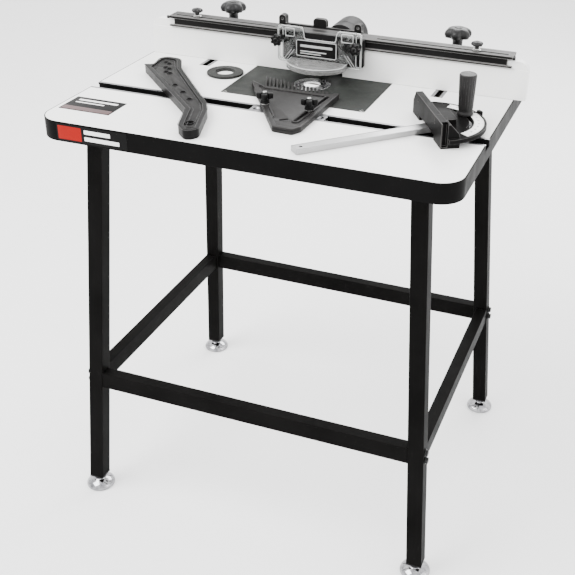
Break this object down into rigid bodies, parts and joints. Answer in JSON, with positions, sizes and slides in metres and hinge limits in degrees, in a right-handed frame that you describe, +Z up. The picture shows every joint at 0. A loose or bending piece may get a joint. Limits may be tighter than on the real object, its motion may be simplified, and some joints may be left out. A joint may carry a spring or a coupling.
{
  "type": "router table",
  "caption": "Free-standing router table with a laminated top on a splayed tube stand, sliding split fence with clear guard, featherboard, mitre gauge and push stick.",
  "frame": {"origin": "on the floor, below the middle of the whole object, 10 mm to the right of the middle of the table top because the fence overhangs that end", "axes": "+Z up, +X along the fence to the operator's right, front edge towards -Y"},
  "size_m": [0.823, 0.656, 0.986],
  "materials": {
    "white_laminate": "fine textured laminate",
    "edge_strip": "satin",
    "board_core": "raw fibreboard",
    "track_metal": "clear anodised",
    "plate_grey": "textured powder coat",
    "ring_steel": "turned",
    "ring_grey": "satin",
    "screw_steel": "zinc plated",
    "black_screw": "blackened",
    "stand_black": "semi-gloss powder coat",
    "plug_black": "satin",
    "foot_chrome": "polished",
    "fence_black": "black anodised",
    "board_white": "satin",
    "knob_black": "satin",
    "housing_black": "moulded texture",
    "port_grey": "moulded texture",
    "clear_guard": "clear plastic",
    "label_grey": "satin print",
    "feather_black": "moulded texture",
    "stick_grey": "moulded texture",
    "gauge_silver": "extruded",
    "gauge_black": "powder coat",
    "scale_white": "printed",
    "badge_dark": "printed"
  },
  "bodies": {
    "stand": {"laminate_top": "white_laminate", "laminate_underside": "white_laminate", "edge_band": "edge_strip", "table_core": "board_core", "mitre_track": "track_metal", "slot_liners": "track_metal", "insert_plate": "plate_grey", "table_screws": "screw_steel", "top_badge": "badge_dark", "front_badge": "badge_dark", "leg_front_left": "stand_black", "leg_front_right": "stand_black", "leg_back_left": "stand_black", "leg_back_right": "stand_black", "rail_front": "stand_black", "rail_back": "stand_black", "rail_left": "stand_black", "rail_right": "stand_black", "stand_bolts": "black_screw", "leg_plugs": "plug_black"},
    "cutter_rings": {"insert_ring": "ring_steel", "inner_ring": "ring_steel"},
    "spare_ring": {"spare_ring": "ring_grey"},
    "fence": {"fence_beam": "fence_black", "fence_arms": "fence_black", "fence_screws": "black_screw", "clamp_bolts": "screw_steel", "chip_housing": "housing_black", "dust_port": "port_grey", "guard_bracket": "housing_black", "guard_studs": "screw_steel"},
    "clamp_knob_left": {"clamp_knob_left": "knob_black"},
    "clamp_knob_right": {"clamp_knob_right": "knob_black"},
    "board_left": {"board_left": "board_white"},
    "board_right": {"board_right": "board_white"},
    "board_knob_left": {"board_knob_left": "knob_black"},
    "board_knob_right": {"board_knob_right": "knob_black"},
    "guard": {"guard_plate": "clear_guard", "guard_visor": "clear_guard", "guard_label": "label_grey"},
    "guard_knob_left": {"guard_knob_left": "knob_black"},
    "guard_knob_right": {"guard_knob_right": "knob_black"},
    "featherboard": {"featherboard": "feather_black", "slot_bar": "track_metal", "feather_studs": "screw_steel"},
    "feather_knob_left": {"feather_knob_left": "knob_black"},
    "feather_knob_right": {"feather_knob_right": "knob_black"},
    "mitre_bar": {"mitre_bar": "gauge_silver", "mitre_pins": "screw_steel", "mitre_pointer": "gauge_black"},
    "mitre_head": {"mitre_head": "gauge_black", "mitre_face": "gauge_black", "mitre_scale": "scale_white", "mitre_face_screws": "screw_steel"},
    "mitre_handle": {"mitre_handle": "knob_black"},
    "push_stick": {"push_stick": "stick_grey"},
    "foot_front_left": {"foot_front_left": "foot_chrome"},
    "foot_front_right": {"foot_front_right": "foot_chrome"},
    "foot_back_left": {"foot_back_left": "foot_chrome"},
    "foot_back_right": {"foot_back_right": "foot_chrome"}
  },
  "joints": [
    {"name": "foot_front_left_turn", "type": "hinge", "parent": "stand", "child": "foot_front_left", "pos_m": [-0.37997, -0.29703, 0.02], "axis": [0, 0, 1], "continuous": true},
    {"name": "foot_front_right_turn", "type": "hinge", "parent": "stand", "child": "foot_front_right", "pos_m": [0.35997, -0.29703, 0.02], "axis": [0, 0, 1], "continuous": true},
    {"name": "foot_back_left_turn", "type": "hinge", "parent": "stand", "child": "foot_back_left", "pos_m": [-0.37997, 0.29703, 0.02], "axis": [0, 0, 1], "continuous": true},
    {"name": "foot_back_right_turn", "type": "hinge", "parent": "stand", "child": "foot_back_right", "pos_m": [0.35997, 0.29703, 0.02], "axis": [0, 0, 1], "continuous": true},
    {"name": "cutter_rings_turn", "type": "hinge", "parent": "stand", "child": "cutter_rings", "pos_m": [-0.01, 0.056, 0.8775], "axis": [0, 0, 1], "continuous": true},
    {"name": "spare_ring_lift", "type": "slide", "parent": "stand", "child": "spare_ring", "axis": [0, 0, 1], "range_m": [0, 0.1]},
    {"name": "fence_slide", "type": "slide", "parent": "stand", "child": "fence", "axis": [0, 1, 0], "range_m": [-0.03, 0.05]},
    {"name": "clamp_knob_left_turn", "type": "hinge", "parent": "fence", "child": "clamp_knob_left", "pos_m": [-0.264, 0.23, 0.92], "axis": [0, 0, 1], "continuous": true},
    {"name": "clamp_knob_right_turn", "type": "hinge", "parent": "fence", "child": "clamp_knob_right", "pos_m": [0.244, 0.23, 0.92], "axis": [0, 0, 1], "continuous": true},
    {"name": "board_left_slide", "type": "slide", "parent": "fence", "child": "board_left", "axis": [1, 0, 0], "range_m": [-0.025, 0.008]},
    {"name": "board_right_slide", "type": "slide", "parent": "fence", "child": "board_right", "axis": [1, 0, 0], "range_m": [-0.03, 0.045]},
    {"name": "board_knob_left_turn", "type": "hinge", "parent": "board_left", "child": "board_knob_left", "pos_m": [-0.301, 0.13, 0.97], "axis": [0, 0, 1], "continuous": true},
    {"name": "board_knob_right_turn", "type": "hinge", "parent": "board_right", "child": "board_knob_right", "pos_m": [0.306, 0.13, 0.97], "axis": [0, 0, 1], "continuous": true},
    {"name": "guard_height", "type": "slide", "parent": "fence", "child": "guard", "axis": [0, 0, 1], "range_m": [-0.012, 0.03]},
    {"name": "guard_knob_left_turn", "type": "hinge", "parent": "fence", "child": "guard_knob_left", "pos_m": [-0.097, 0.09, 0.954], "axis": [0, 1, 0], "continuous": true},
    {"name": "guard_knob_right_turn", "type": "hinge", "parent": "fence", "child": "guard_knob_right", "pos_m": [0.071, 0.09, 0.954], "axis": [0, 1, 0], "continuous": true},
    {"name": "featherboard_slide", "type": "slide", "parent": "stand", "child": "featherboard", "axis": [1, 0, 0], "range_m": [-0.035, 0.05]},
    {"name": "feather_knob_left_turn", "type": "hinge", "parent": "featherboard", "child": "feather_knob_left", "pos_m": [-0.039, -0.115, 0.9], "axis": [0, 0, 1], "continuous": true},
    {"name": "feather_knob_right_turn", "type": "hinge", "parent": "featherboard", "child": "feather_knob_right", "pos_m": [0.051, -0.115, 0.9], "axis": [0, 0, 1], "continuous": true},
    {"name": "mitre_gauge_lift", "type": "slide", "parent": "stand", "child": "mitre_bar", "axis": [0, 0, 1], "range_m": [0, 0.12]},
    {"name": "mitre_head_swing", "type": "hinge", "parent": "mitre_bar", "child": "mitre_head", "pos_m": [0.28, -0.096, 0.9], "axis": [0, 0, 1], "range_deg": [-22, 52]},
    {"name": "mitre_handle_turn", "type": "hinge", "parent": "mitre_bar", "child": "mitre_handle", "pos_m": [0.33002, -0.04421, 0.93], "axis": [0, 0, 1], "continuous": true},
    {"name": "push_stick_lift", "type": "slide", "parent": "stand", "child": "push_stick", "axis": [0, 0, 1], "range_m": [0, 0.15]}
  ]
}
